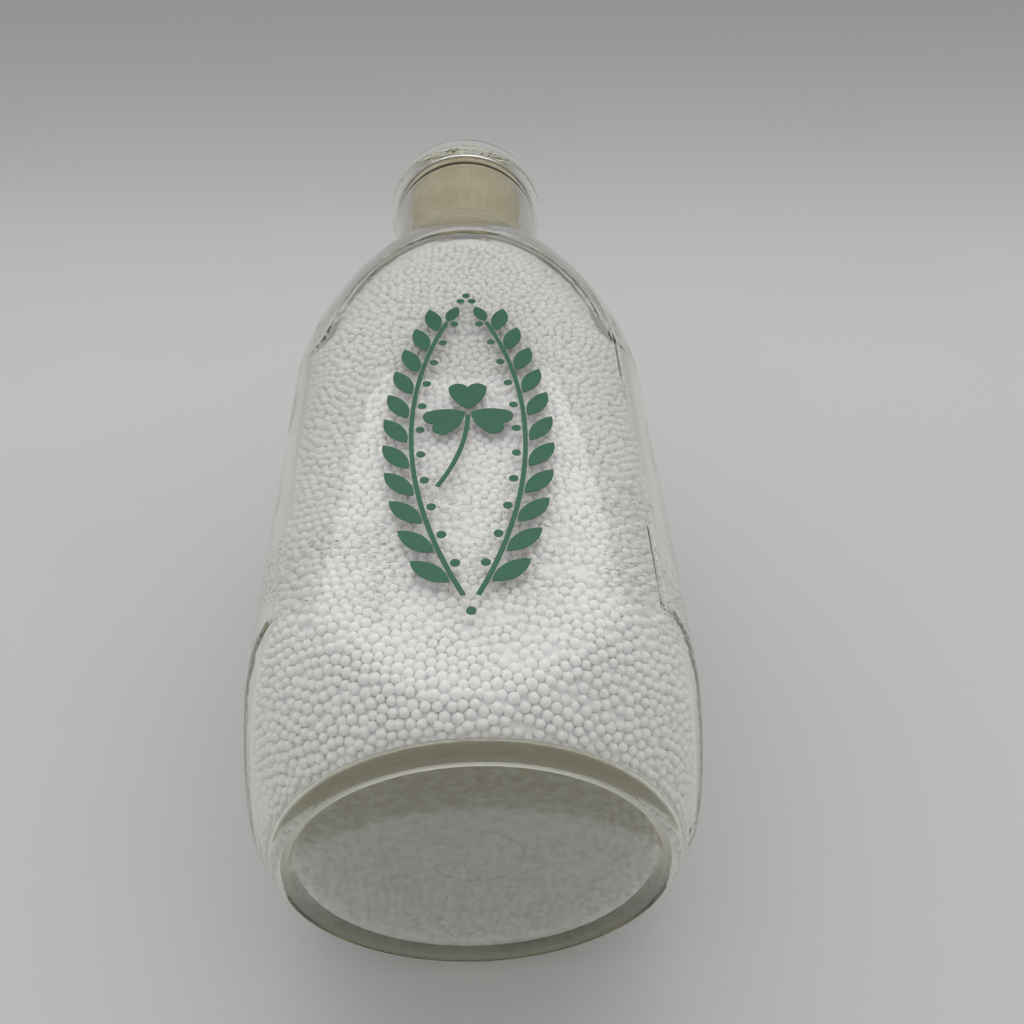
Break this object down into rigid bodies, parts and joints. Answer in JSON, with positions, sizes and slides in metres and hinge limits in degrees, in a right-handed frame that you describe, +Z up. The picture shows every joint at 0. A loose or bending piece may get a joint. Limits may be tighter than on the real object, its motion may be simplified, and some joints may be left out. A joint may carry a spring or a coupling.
{
  "type": "glass milk bottle",
  "caption": "Square clear glass milk bottle with turned heel, shoulder and ringed lip, a lift-out paperboard disc cap with pull tab, a fill of small white beads and a fired green print.",
  "frame": {"origin": "centre of the foot ring, on the surface that the bottle stands on", "axes": "+Z up along the bottle's axis to the mouth, -Y out of the printed panel, +X to the right of it"},
  "size_m": [0.087, 0.0871, 0.254],
  "materials": {
    "clear_glass": "gloss",
    "white_beads": "matte",
    "waxed_board": "satin",
    "green_enamel": "gloss"
  },
  "bodies": {
    "bottle": {"glass_bottle": "clear_glass", "bead_fill": "white_beads", "front_print": "green_enamel"},
    "cap": {"cap_disc": "waxed_board"},
    "tab": {"cap_tab": "waxed_board"}
  },
  "joints": [
    {"name": "cap_lift", "type": "slide", "parent": "bottle", "child": "cap", "axis": [0, 0, 1], "range_m": [0, 0.03]},
    {"name": "tab_hinge", "type": "hinge", "parent": "cap", "child": "tab", "pos_m": [0, 0.003, 0.2488], "axis": [-1, 0, 0], "range_deg": [0, 120]}
  ]
}
